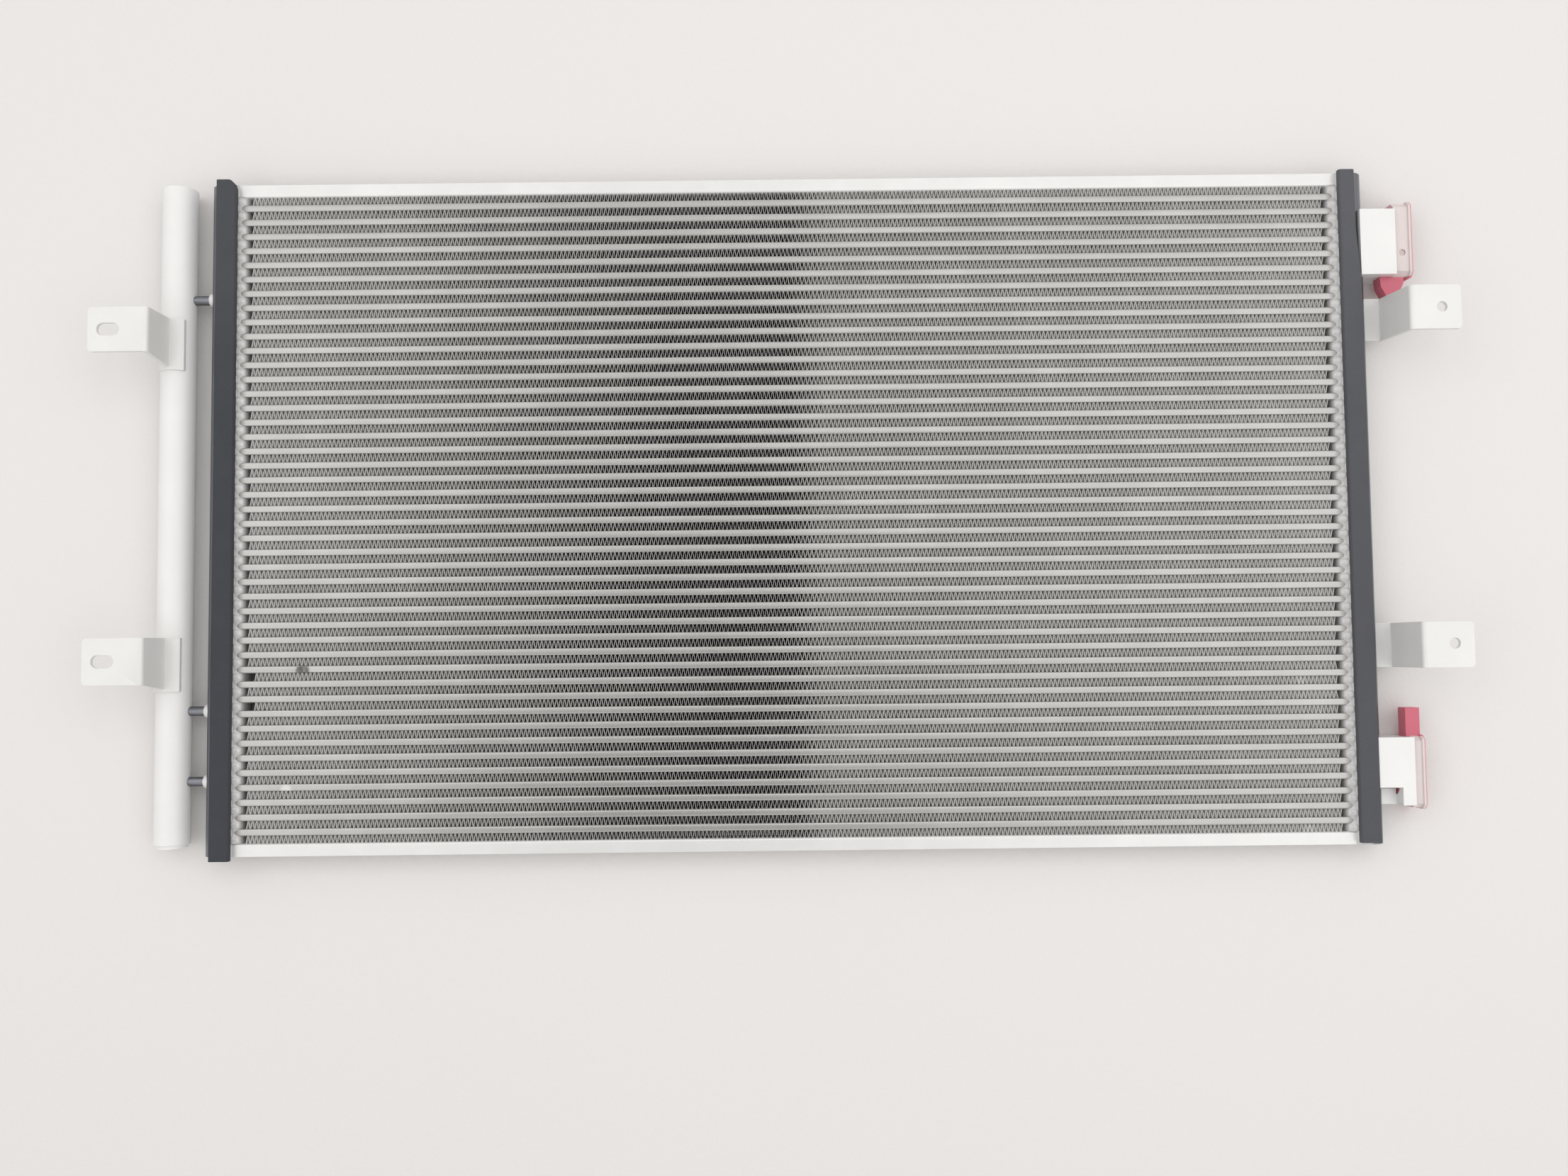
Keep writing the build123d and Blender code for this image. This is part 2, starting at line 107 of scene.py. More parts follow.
def make_camera():
    """Camera with the photograph's place, turn and focal length."""
    data = bpy.data.cameras.new("photo_camera")
    data.sensor_width = SENSOR_WIDTH
    data.lens = SENSOR_WIDTH * FOCAL_PIXELS / PHOTO_WIDTH
    camera = bpy.data.objects.new("photo_camera", data)
    turn = Matrix.Rotation(CAMERA_TURN.length, 4, CAMERA_TURN.normalized())
    camera.matrix_world = Matrix.Translation(CAMERA_PLACE) @ turn
    bpy.context.scene.collection.objects.link(camera)
    bpy.context.scene.camera = camera
    return camera


camera = make_camera()
print("lens", round(camera.data.lens, 2), "mm")

# %% [markdown]
# Marks on the coil are placed by the pixel where the photograph shows them. A pixel is a
# line of sight; where that line meets the height of the surface is the point in metres.

# %% From a pixel of the photograph to a point on the coil
def photo_point(pixel, height):
    """Point at a height above the floor that the photograph shows at a pixel."""
    right = (pixel[0] - PHOTO_WIDTH / 2) / FOCAL_PIXELS
    up = (PHOTO_HEIGHT / 2 - pixel[1]) / FOCAL_PIXELS
    sight = camera.matrix_world.to_3x3() @ Vector((right, up, -1))
    reach = (height - CAMERA_PLACE.z) / sight.z
    return CAMERA_PLACE + sight * reach


picture_middle = photo_point((PHOTO_WIDTH / 2, PHOTO_HEIGHT / 2), TUBE_FRONT_Z)
print("middle of the picture", [round(c / MM, 1) for c in picture_middle])

# %% [markdown]
# ## A small language for finishes
# A material in Blender is a graph of nodes. Sums such as `1 - mask * 0.4` are easier to
# read than chains of Math nodes, so one class wraps an output socket and lets Python's
# own signs add those nodes. Every other node comes from its one method `node`.

# %% The class that wraps a socket
class Signal:
    """An output socket of a material that can be used in sums."""

    def __init__(self, tree, output=None):
        self.tree = tree
        self.output = output

    def node(self, kind, settings=None, inputs=None, output=0):
        """Add a node: its settings first, then the values or links of its sockets."""
        made = self.tree.nodes.new(kind)
        for name, value in (settings or {}).items():
            setattr(made, name, value)
        for name, value in (inputs or {}).items():
            if isinstance(value, Signal):
                self.tree.links.new(value.output, made.inputs[name])
            else:
                made.inputs[name].default_value = value
        return Signal(self.tree, made.outputs[output] if made.outputs else None)

    def sum(self, operation, first, second):
        """One Math node on two signals or numbers."""
        return self.node("ShaderNodeMath", {"operation": operation}, {0: first, 1: second})

    def __add__(self, other):
        return self.sum("ADD", self, other)

    def __radd__(self, other):
        return self.sum("ADD", other, self)

    def __sub__(self, other):
        return self.sum("SUBTRACT", self, other)

    def __rsub__(self, other):
        return self.sum("SUBTRACT", other, self)

    def __mul__(self, other):
        return self.sum("MULTIPLY", self, other)

    def __rmul__(self, other):
        return self.sum("MULTIPLY", other, self)


print("signs that add a node: + - *")

# %% [markdown]
# Helpers on top of it: a new material with its shader, one coordinate of a place, a noise
# at a real size and a soft step between two values. Noise is laid out in metres, because
# the object coordinates of every piece are its real coordinates.

# %% Helpers for finishes
def new_material(name):
    """A material with an empty tree, and the signal of a place on the piece."""
    material = bpy.data.materials.new(name)
    material.use_nodes = True
    material.node_tree.nodes.clear()
    place = Signal(material.node_tree).node("ShaderNodeTexCoord", output="Object")
    return material, place


def finish(material, place, sockets):
    """Give the material a Principled shader with these values and signals."""
    shader = place.node("ShaderNodeBsdfPrincipled", None, sockets)
    shader.node("ShaderNodeOutputMaterial", None, {"Surface": shader})
    return material


def coordinate(place, axis):
    """One coordinate of a place: 0 along the tubes, 1 across them, 2 upwards."""
    return place.node("ShaderNodeSeparateXYZ", None, {0: place}, output=axis)


def stretch(place, factors):
    """The place, stretched by a factor on each axis."""
    return place.node("ShaderNodeVectorMath", {"operation": "MULTIPLY"}, {0: place, 1: factors})


def speckle(place, size, detail=2.0, rough=0.5):
    """Noise from 0 to 1 whose blots are about a size across."""
    return place.node(
        "ShaderNodeTexNoise",
        {"noise_dimensions": "3D"},
        {"Vector": place, "Scale": 1 / size, "Detail": detail, "Roughness": rough},
    )


def step(signal, low, high):
    """0 below low, 1 above high, and smooth between them."""
    return signal.node(
        "ShaderNodeMapRange",
        {"interpolation_type": "SMOOTHSTEP"},
        {"Value": signal, "From Min": low, "From Max": high, "To Min": 0.0, "To Max": 1.0},
    )


helpers = (new_material, finish, coordinate, stretch, speckle, step)
print("helpers:", ", ".join(helper.__name__ for helper in helpers))

# %% [markdown]
# The Mix node has the same socket names several times over, once for each kind of value,
# so its colour sockets are told by their number. A mark is a round spot that fades out.

# %% Mixes, bumps and marks
MIX_FACTOR, MIX_FIRST, MIX_SECOND, MIX_RESULT = 0, 6, 7, 2
MARK_CORE = 0.45


def mix(mask, first, second):
    """Colour that goes from first to second as the mask goes from 0 to 1."""
    first, second = ((*c, 1) if isinstance(c, tuple) else c for c in (first, second))
    colours = {MIX_FACTOR: mask, MIX_FIRST: first, MIX_SECOND: second}
    return mask.node("ShaderNodeMix", {"data_type": "RGBA"}, colours, output=MIX_RESULT)


def bump(height, distance):
    """Normal of a surface that rises with a signal by up to a distance."""
    return height.node("ShaderNodeBump", None, {"Height": height, "Distance": distance})


def near(place, point, radius):
    """1 at a point, 0 beyond a radius."""
    away = place.node(
        "ShaderNodeVectorMath", {"operation": "DISTANCE"}, {0: place, 1: tuple(point)}, output=1
    )
    return 1 - step(away, radius * MARK_CORE, radius)


print("a mark is full up to", MARK_CORE, "of its radius")

# %% [markdown]
# ## Aluminium
# The whole coil went through a brazing furnace. That leaves the metal pale and matt, with
# a thin haze of flux, cloudy patches and fine scratches along the direction in which each
# piece was drawn or rubbed. One function makes all these greys: the patches vary the
# colour, stretched noise makes the scratches, and grain and scratches vary the roughness
# and give a bump. Marks, some of them painted shade or painted highlights, painted shade on
# the tube ends near the headers and a bare outer side, darkened as painted shade, can be
# laid over.

# %% One function for every aluminium finish
CLOUD_SIZE, GRAIN_SIZE, LINE_SIZE = 30 * MM, 1.2 * MM, 0.6 * MM
CLOUDS_FROM, CLOUDS_TO = 0.35, 0.75
CLOUD_SHARE, GRAIN_SHARE, LINE_SHARE = 0.6, 0.3, 0.1
GRAIN_ROUGHENS, LINES_SMOOTHEN = 0.12, 0.08
METAL_RELIEF = 0.06 * MM


def from_middle(place):
    """Distance of a place from the middle of the core, along the tubes."""
    across = coordinate(place, 0)
    return across.node("ShaderNodeMath", {"operation": "ABSOLUTE"}, {0: across - CORE_X})


def aluminium(name, colour, haze, roughness, metallic, along, marks_and_painted_light=(), end_shade=None, bare_and_painted_shade=None):
    """Brazed aluminium with cloudy haze and fine lines along one axis."""
    material, place = new_material(name)
    clouds = speckle(place, CLOUD_SIZE, 4.0, 0.6)
    grain = speckle(place, GRAIN_SIZE, 3.0, 0.7)
    lines = speckle(stretch(place, along), LINE_SIZE, 2.0, 0.6)
    hazy = step(clouds, CLOUDS_FROM, CLOUDS_TO) * CLOUD_SHARE + grain * GRAIN_SHARE
    tone = mix(hazy + lines * LINE_SHARE, colour, haze)
    # Marks hold real wear, painted shade and painted highlights.
    for point, radius, strength, shade in marks_and_painted_light:
        tone = mix(near(place, point, radius) * strength, tone, shade)
    # Painted shade: the tube ends turn darker towards the headers.
    if end_shade:
        start, full, strength, shade = end_shade
        tone = mix(step(from_middle(place), start, full) * strength, tone, shade)
    # Painted shade: the round outer flank of a header is darkened, on top of its bare, more metallic
    # metal.
    if bare_and_painted_shade:
        start, full, shade, metallic_there = bare_and_painted_shade
        outside = step(from_middle(place), start, full)
        tone = mix(outside, tone, shade)
        metallic = metallic + outside * (metallic_there - metallic)
    surface = {
        "Base Color": tone,
        "Metallic": metallic,
        "Roughness": roughness + grain * GRAIN_ROUGHENS - lines * LINES_SMOOTHEN,
        "Normal": bump(grain * 0.6 + lines * 0.4, METAL_RELIEF),
    }
    return finish(material, place, surface)


ALONG_X = (0.02, 1.0, 1.0)
ALONG_Y = (1.0, 0.02, 1.0)
EVEN = (1.0, 1.0, 1.0)
print("lines along X are", round(1 / ALONG_X[0]), "times as long as they are wide")

# %% [markdown]
# The wear is what the photograph shows: one knocked tube with a dent, painted dark as
# painted shade in its hollow, and a pale scuff. A few fins at the lower right get painted
# highlights where bent fins catch the light; the fins themselves are not bent. The ends of
# the tubes turn darker towards the headers as painted shade. A header is chalky with flux
# on its core side and bare metal on its round outer side, darkened there as painted shade.

# %% Wear, painted shade and painted highlights
DENT_PIXEL, SCUFF_PIXEL = (427, 946), (403, 1115)
DENT_POINT = photo_point(DENT_PIXEL, TUBE_FRONT_Z)
SCUFF_POINT = photo_point(SCUFF_PIXEL, TUBE_FRONT_Z)
# The dent's dark colour is painted shade in its hollow; the scuff is real wear.
DENT_PAINTED_SHADE, SCUFF_SHADE = (0.10, 0.095, 0.09), (0.75, 0.74, 0.72)
TUBE_SCUFF_AND_DENT_SHADE = (
    (DENT_POINT, 6 * MM, 0.75, DENT_PAINTED_SHADE),
    (SCUFF_POINT, 5 * MM, 0.6, SCUFF_SHADE),
)
# Painted highlights: lighter spots on the fins where bent fins catch the light; the fins are not bent.
BENT_FIN_PIXELS = ((1847, 1171), (1875, 1134), (1835, 961), (1862, 1010), (1828, 1075))
BENT_FIN_PAINTED_HIGHLIGHT = (0.97, 0.96, 0.94)
BENT_FIN_RADIUS, BENT_FIN_HIGHLIGHT_STRENGTH = 5 * MM, 0.8
FIN_PAINTED_HIGHLIGHTS = [
    (photo_point(pixel, FIN_FRONT_Z), BENT_FIN_RADIUS, BENT_FIN_HIGHLIGHT_STRENGTH, BENT_FIN_PAINTED_HIGHLIGHT)
    for pixel in BENT_FIN_PIXELS
]
HEADER_CORE_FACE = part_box("header_right")[0].x - CORE_X
# Painted shade on the tube ends near the headers.
END_SHADE_START, END_SHADE_FULL = HEADER_CORE_FACE - 7 * MM, HEADER_CORE_FACE - 3 * MM
TUBE_END_PAINTED_SHADE = (END_SHADE_START, END_SHADE_FULL, 0.6, (0.20, 0.19, 0.18))
# Painted shade on the outer flank of the headers, over bare metal.
BARE_SHADE_START, BARE_SHADE_FULL = HEADER_CORE_FACE + 8 * MM, HEADER_CORE_FACE + 11 * MM
HEADER_BARE_PAINTED_SHADE = (BARE_SHADE_START, BARE_SHADE_FULL, (0.21, 0.215, 0.235), 1.0)
print("dent at", [round(c / MM, 1) for c in DENT_POINT], "mm")

# %% [markdown]
# The pieces differ in how pale they are and in how much of a mirror the metal still is.
# Fins and sheet came out of the furnace nearly white and matt. The tubes kept more shine,
# which is why they turn darker where they mirror the dim part of the room.

# %% Aluminium finishes
METALS = {
    "tube": aluminium(
        "tube_aluminium",
        colour=(0.45, 0.44, 0.427),
        haze=(0.52, 0.51, 0.497),
        roughness=0.34,
        metallic=0.8,
        along=ALONG_X,
        marks_and_painted_light=TUBE_SCUFF_AND_DENT_SHADE,
        end_shade=TUBE_END_PAINTED_SHADE,
    ),
    "fin": aluminium(
        "fin_aluminium",
        colour=(0.80, 0.79, 0.775),
        haze=(0.88, 0.87, 0.855),
        roughness=0.50,
        metallic=0.15,
        along=EVEN,
        marks_and_painted_light=FIN_PAINTED_HIGHLIGHTS,
    ),
    "header": aluminium(
        "header_aluminium",
        colour=(0.50, 0.495, 0.49),
        haze=(0.58, 0.575, 0.57),
        roughness=0.34,
        metallic=0.3,
        along=ALONG_Y,
        bare_and_painted_shade=HEADER_BARE_PAINTED_SHADE,
    ),
    "plate": aluminium(
        "side_plate_aluminium",
        colour=(0.73, 0.725, 0.715),
        haze=(0.80, 0.795, 0.785),
        roughness=0.42,
        metallic=0.4,
        along=ALONG_X,
    ),
    "receiver": aluminium(
        "receiver_aluminium",
        colour=(0.78, 0.775, 0.765),
        haze=(0.82, 0.815, 0.805),
        roughness=0.50,
        metallic=0.0,
        along=ALONG_Y,
    ),
    "bracket": aluminium(
        "bracket_aluminium",
        colour=(0.73, 0.725, 0.71),
        haze=(0.78, 0.775, 0.765),
        roughness=0.42,
        metallic=0.1,
        along=ALONG_X,
    ),
    "block": aluminium(
        "block_aluminium",
        colour=(0.76, 0.76, 0.75),
        haze=(0.80, 0.80, 0.79),
        roughness=0.36,
        metallic=0.1,
        along=ALONG_X,
    ),
}
print("aluminium finishes:", ", ".join(METALS))

# %% [markdown]
# ## Foam
# The seal strips are a dark blue-grey cell foam: matt, with fine pores that only a bump
# shows. It is a little lighter towards the right and the top, so the coordinates of a
# place choose how much of the lighter colour is mixed in, and two noises break that up.

# %% Foam finish
PORE_SIZE, BLOTCH_SIZE = 0.7 * MM, 25 * MM
PORE_RELIEF = 0.4 * MM
LIGHTER_X, LIGHTER_Y = (-0.3, 0.3), (0.05, 0.20)
LIGHTER_ACROSS, LIGHTER_ALONG, LIGHTER_LESS = 0.55, 0.25, 0.15
BLOTCH_SHARE, PORE_SHARE = 0.2, 0.15
FOAM_ROUGHNESS, PORES_ROUGHEN = 0.85, 0.1


def cell_foam(name, colour, lighter):
    """Closed-cell foam with pores and soft blotches, lighter at the right and the top."""
    material, place = new_material(name)
    pores = speckle(place, PORE_SIZE, 2.0, 0.7)
    blotches = speckle(place, BLOTCH_SIZE, 3.0, 0.55)
    # The foam turns lighter towards the right and the top.
    lighter_share = step(coordinate(place, 0), *LIGHTER_X) * LIGHTER_ACROSS
    lighter_share = lighter_share + step(coordinate(place, 1), *LIGHTER_Y) * LIGHTER_ALONG
    tone = mix(lighter_share + blotches * BLOTCH_SHARE + pores * PORE_SHARE - LIGHTER_LESS, colour, lighter)
    surface = {
        "Base Color": tone,
        "Roughness": FOAM_ROUGHNESS + pores * PORES_ROUGHEN,
        "Normal": bump(pores, PORE_RELIEF),
    }
    return finish(material, place, surface)


FOAM = cell_foam("seal_foam", (0.043, 0.046, 0.055), (0.110, 0.112, 0.124))
print("foam finish:", FOAM.name)

# %% [markdown]
# ## Plastic of the transit caps
# The transit caps are thin red plastic. The tray over a block is almost white: its upper
# part is a painted highlight. The pull tab and the outer edge of the rim stay red, so the
# colour is pale inside a box over the tray and red outside it. A little light passes
# under the surface, as in any thin moulding.

# %% Plastic with a painted highlight
# A pale red for the painted highlight on the tray, and the full red of the plastic.
HIGHLIGHT_PALE_RED, FULL_RED = (0.69, 0.64, 0.625), (0.58, 0.13, 0.185)
MOULD_SIZE, MOULD_RELIEF = 4 * MM, 0.2 * MM
HIGHLIGHT_LEAST, MOULD_SHARE = 0.9, 0.1
CAP_ROUGHNESS, MOULD_ROUGHENS = 0.30, 0.15
LIGHT_UNDER, LIGHT_REACH = 0.25, 2 * MM
BOX_EDGE = 0.6 * MM
TRAY_MARGIN, TAB_MARGIN, RED_RIM = 8 * MM, 0.3 * MM, 0.5 * MM


def thin_plastic(name, pale_highlight, full, highlight_low, highlight_high):
    """Thin translucent plastic, pale as a painted highlight inside a box and full red around it."""
    material, place = new_material(name)
    inside = 1
    for axis, (low, high) in enumerate(zip(highlight_low, highlight_high)):
        along = coordinate(place, axis)
        within = 1 - step(along, high - BOX_EDGE, high + BOX_EDGE)
        inside = inside * (step(along, low - BOX_EDGE, low + BOX_EDGE) * within)
    moulded = speckle(place, MOULD_SIZE, 3.0, 0.5)
    surface = {
        # Painted highlight: the red turns pale inside the box over the tray.
        "Base Color": mix(inside * (HIGHLIGHT_LEAST + moulded * MOULD_SHARE), full, pale_highlight),
        "Roughness": CAP_ROUGHNESS + moulded * MOULD_ROUGHENS,
        "Normal": bump(moulded, MOULD_RELIEF),
        "Subsurface Weight": LIGHT_UNDER,
        "Subsurface Scale": LIGHT_REACH,
    }
    return finish(material, place, surface)


def cap_finish(node):
    """Finish of a transit cap: a painted highlight over its tray, and a red pull tab."""
    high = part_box(node)[1]
    block_low, block_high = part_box(node.replace("dust_cap", "block"))
    highlight_low = Vector((block_high.x, block_low.y - TRAY_MARGIN, CORE_Z))
    highlight_high = Vector((high.x - RED_RIM, block_high.y + TRAY_MARGIN, high.z + TRAY_MARGIN))
    if node.startswith("inlet"):
        highlight_low.y = block_low.y - TAB_MARGIN
    else:
        highlight_high.y = block_high.y + TAB_MARGIN
    return thin_plastic(f"{node}_plastic", HIGHLIGHT_PALE_RED, FULL_RED, highlight_low, highlight_high)


print("pale box ends", RED_RIM / MM, "mm inside the rim")

# %% [markdown]
# ## Rubber, moulded plastic and felt
# The receiver holds a rubber ring, a filter and a bag of drying beads. Nobody sees them
# from outside, so one colour with a grain of the right size is enough for each.

# %% Rubber, moulded plastic and felt
STUFF_RELIEF, STUFF_ROUGHENS = 0.1 * MM, 0.1


def plain_stuff(name, colour, lighter, size, roughness):
    """Rubber, moulded plastic or felt: one colour with a grain."""
    material, place = new_material(name)
    grain = speckle(place, size, 3.0, 0.6)
    surface = {
        "Base Color": mix(grain, colour, lighter),
        "Roughness": roughness + grain * STUFF_ROUGHENS,
        "Normal": bump(grain, STUFF_RELIEF),
    }
    return finish(material, place, surface)


RUBBER = plain_stuff("seal_rubber", (0.012, 0.012, 0.013), (0.03, 0.03, 0.03), 1 * MM, 0.5)
FILTER_PLASTIC = plain_stuff("filter_plastic", (0.70, 0.68, 0.62), (0.8, 0.78, 0.72), 3 * MM, 0.4)
BEAD_FELT = plain_stuff("desiccant_fabric", (0.75, 0.73, 0.68), (0.86, 0.84, 0.8), 0.8 * MM, 0.9)
print("other finishes:", RUBBER.name, FILTER_PLASTIC.name, BEAD_FELT.name)

# %% [markdown]
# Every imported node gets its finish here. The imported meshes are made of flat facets, so
# they are shaded smooth; the corners stay sharp because the facets of two faces don't
# share their vertices.

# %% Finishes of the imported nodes
FINISH_OF = {
    "side_plate": METALS["plate"],
    "header": METALS["header"],
    "neck": METALS["header"],
    "receiver_support": METALS["header"],
    "receiver_tube": METALS["receiver"],
    "receiver_top_cap": METALS["receiver"],
    "receiver_plug": METALS["receiver"],
    "receiver_filter": FILTER_PLASTIC,
    "desiccant_bag": BEAD_FELT,
    "plug_o_ring": RUBBER,
    "bracket": METALS["bracket"],
    "inlet_block": METALS["block"],
    "outlet_block": METALS["block"],
    "inlet_dust_cap": cap_finish("inlet_dust_cap"),
    "outlet_dust_cap": cap_finish("outlet_dust_cap"),
    "foam_strip": FOAM,
    "flat_tubes": METALS["tube"],
    "fin_strips": METALS["fin"],
}


def finish_for(node):
    """The finish whose name starts the node's name."""
    return next(made for start, made in FINISH_OF.items() if node.startswith(start))


def give_finish(piece, material):
    """Make the material the only one of a piece."""
    piece.data.materials.clear()
    piece.data.materials.append(material)


for node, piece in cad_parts.items():
    give_finish(piece, finish_for(node))
    piece.data.shade_smooth()
print(len(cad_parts), "packed nodes have a finish")

# %% [markdown]
# ## Making pieces
# Nearly every form here is a row of rings: the outline of a section, repeated along the
# piece and joined by faces. One function skins such a row, and another turns a finished
# mesh into a piece that rides on the model and may stand for nodes of it. Faces that meet
# at a small angle are shaded as one smooth surface, and the others keep their crease.

# %% From rings to a piece
CREASE_ANGLE = math.radians(40)


def skin(mesh, rings):
    """Join rings of vertices by faces, and close the first and the last one."""
    for first, second in zip(rings, rings[1:]):
        for index in range(len(first)):
            follow = (index + 1) % len(first)
            mesh.faces.new((first[index], first[follow], second[follow], second[index]))
    mesh.faces.new(rings[0])
    mesh.faces.new(rings[-1])


def make_piece(name, mesh, material, slot, *nodes):
    """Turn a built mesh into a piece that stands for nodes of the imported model."""
    bmesh.ops.recalc_face_normals(mesh, faces=mesh.faces)
    data = bpy.data.meshes.new(name)
    mesh.to_mesh(data)
    mesh.free()
    data.shade_smooth()
    data.set_sharp_from_angle(angle=CREASE_ANGLE)
    piece = bpy.data.objects.new(name, data)
    bpy.context.scene.collection.objects.link(piece)
    give_finish(piece, material)
    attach(piece, "root")
    if nodes:
        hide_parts(*nodes)
    print(name, len(data.polygons), "faces")
    return piece


print("creases over", round(math.degrees(CREASE_ANGLE)), "degrees stay sharp")

# %% [markdown]
# ## Folded fins
# Between two tubes lies a strip of thin sheet, folded to and fro like an accordion and
# brazed to both tubes at every fold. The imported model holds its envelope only. A folded
# line, given a thickness and pulled through the depth of the core, makes the real strip:
# each leg ends in a short flat crest on the tube that it touches.

# %% The folded line
FOLD_PITCH = 1.4 * MM
FOLD_FLAT = 0.34
FOLD_SHAKE = 0.10
FIN_SEED = 5


def folded_line(length, height, chance):
    """Points of the folded line, from one end of the strip to the other."""
    legs = round(length / FOLD_PITCH)
    pitch = length / legs
    points = []
    for leg in range(legs):
        side = 1 if leg % 2 else -1
        middle = pitch * (leg + 0.5 + chance.uniform(-FOLD_SHAKE, FOLD_SHAKE))
        reach = pitch * FOLD_FLAT / 2
        points += [(middle - reach, side * height), (middle + reach, side * height)]
    return points


print(round((FIN_HIGH_X - FIN_LOW_X) / FOLD_PITCH), "legs in a whole strip")

# %% [markdown]
# The legs don't stand quite upright in the core. How far one sees down between them
# depends on that lean, and in the photograph the fins turn from dark to light within a
# few folds right of the middle, so there the lean grows quickly and then dies away.

# %% Lean of the folds
LEAN_LEAST = math.tan(math.radians(2.5))
LEAN_MOST = math.tan(math.radians(12))
LEAN_FROM_X, LEAN_TO_X, LEAN_BACK_X = 4 * MM, 36 * MM, 300 * MM
LEAN_END = 12 * MM


def between(value, low, high):
    """Share of the way from low to high, held between 0 and 1."""
    return max(0.0, min(1.0, (value - low) / (high - low)))


def lean(x):
    """Sideways slope of the folds: most just right of the middle, less towards the ends."""
    rise = between(x, LEAN_FROM_X, LEAN_TO_X)
    fall = between(x, LEAN_TO_X, LEAN_BACK_X)
    slope = LEAN_LEAST + (LEAN_MOST - LEAN_LEAST) * rise * rise * (3 - 2 * rise) * (1 - fall)
    return slope * between(min(x - FIN_LOW_X, FIN_HIGH_X - x), 0, LEAN_END)


print("slope at the middle of the core", round(lean(CORE_X), 3))

# %% [markdown]
# A strip is a row of rings with four corners: two on each face of the sheet, one at the
# back of the core and one at the front. Two strips at the left have lost their last folds.

# %% Corrugated fin strips
SHEET = 0.12 * MM
FIN_Z = (FIN_BACK_Z + FIN_FRONT_Z) / 2
TORN_PIXELS = ((352, 958), (350, 1001))
TORN_LENGTH = 4.5 * MM
TORN_Y = [photo_point(pixel, FIN_FRONT_Z).y for pixel in TORN_PIXELS]


def fin_strip(mesh, low_x, y, height, chance):
    """Add one folded strip to the mesh."""
    line = folded_line(FIN_HIGH_X - low_x, height, chance)
    inner = height - SHEET / 2
    rings = []
    for index, (x, rise) in enumerate(line):
        before = line[max(index - 1, 0)]
        after = line[min(index + 1, len(line) - 1)]
        across = Vector((before[1] - after[1], after[0] - before[0])).normalized() * SHEET / 2
        ring = []
        for sign, depths in ((1, (FIN_BACK_Z, FIN_FRONT_Z)), (-1, (FIN_FRONT_Z, FIN_BACK_Z))):
            px = low_x + x + sign * across.x
            py = y + max(-inner, min(inner, rise)) + sign * across.y
            slope = lean(px)
            ring += [mesh.verts.new((px + slope * (z - FIN_Z), py, z)) for z in depths]
        rings.append(ring)
    skin(mesh, rings)


def strip_start(y):
    """Left end of the strip at a height."""
    torn = any(abs(y - mark) < TUBE_PITCH / 2 for mark in TORN_Y)
    return FIN_LOW_X + TORN_LENGTH if torn else FIN_LOW_X


def make_fins():
    """One piece of folded strips for each refrigerant pass."""
    chance = random.Random(FIN_SEED)
    upper = 0
    for index, count in zip(PASSES, PASS_TUBES):
        mesh = bmesh.new()
        strips = count + 1 if index == 1 else count
        for _ in range(strips):
            y = fin_y(upper)
            fin_strip(mesh, strip_start(y), y, FIN_GAP / 2, chance)
            upper += 1
        name = f"folded_fins_pass_{index}"
        make_piece(name, mesh, METALS["fin"], "fin_aluminium", f"fin_strips_pass_{index}")


make_fins()

# %% [markdown]
# ## Flat tubes
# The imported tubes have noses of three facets. The real ones are extruded with a soft
# nose, and the nose is what the light lies on. A rounded square, drawn by raising sine
# and cosine to a power, gives a broad front with soft corners. A straight tube needs only
# a ring at each end. At one place near the left end a knock has pushed the nose in, so
# the rings stand close there.

# %% Tubes with soft noses
NOSE_STEPS = 12
NOSE_POWER = 4.0
NOSE_LENGTH = 1.6 * MM
DENT_STATION = 0.5 * MM
DENT_REACH = 5.0 * MM
DENT_DEPTH = 1.3 * MM


def soft_square(angle, power):
    """Cosine and sine of an angle on a rounded square instead of a circle."""
    pair = (math.cos(angle), math.sin(angle))
    return [math.copysign(abs(part) ** (2 / power), part) for part in pair]


def tube_outline():
    """Points round a tube, in thickness and depth."""
    straight = (TUBE_FRONT_Z - TUBE_BACK_Z) / 2 - NOSE_LENGTH
    points = []
    for end in (1, -1):
        for index in range(NOSE_STEPS + 1):
            side, out = soft_square(math.pi * index / NOSE_STEPS, NOSE_POWER)
            out = abs(out) * NOSE_LENGTH + straight
            points.append((side * TUBE_THICK / 2 * end, out * end))
    return points


def dented(point):
    """The point, pushed in if it lies where the tube was knocked."""
    away = (Vector(point) - DENT_POINT).length
    if away > DENT_REACH:
        return point
    push = DENT_DEPTH * (1 - (away / DENT_REACH) ** 2) ** 2
    return (point[0], point[1], point[2] - push)


def tube_stations(y):
    """Places of the rings along a tube: its two ends, and a close row across a dent."""
    stations = [TUBE_LOW_X, TUBE_HIGH_X]
    if abs(y - DENT_POINT.y) < TUBE_PITCH / 2:
        count = round(DENT_REACH / DENT_STATION)
        stations += [DENT_POINT.x + DENT_STATION * index for index in range(-count, count + 1)]
    return sorted(stations)


def flat_tube(mesh, y):
    """Add one tube to the mesh."""
    rings = []
    for x in tube_stations(y):
        places = [dented((x, y + side, CORE_Z + out)) for side, out in tube_outline()]
        rings.append([mesh.verts.new(place) for place in places])
    skin(mesh, rings)


def make_tubes():
    """One piece of tubes for each refrigerant pass."""
    number = 1
    for index, count in zip(PASSES, PASS_TUBES):
        mesh = bmesh.new()
        for _ in range(count):
            flat_tube(mesh, tube_y(number))
            number += 1
        name = f"round_nosed_tubes_pass_{index}"
        make_piece(name, mesh, METALS["tube"], "tube_aluminium", f"flat_tubes_pass_{index}")


make_tubes()

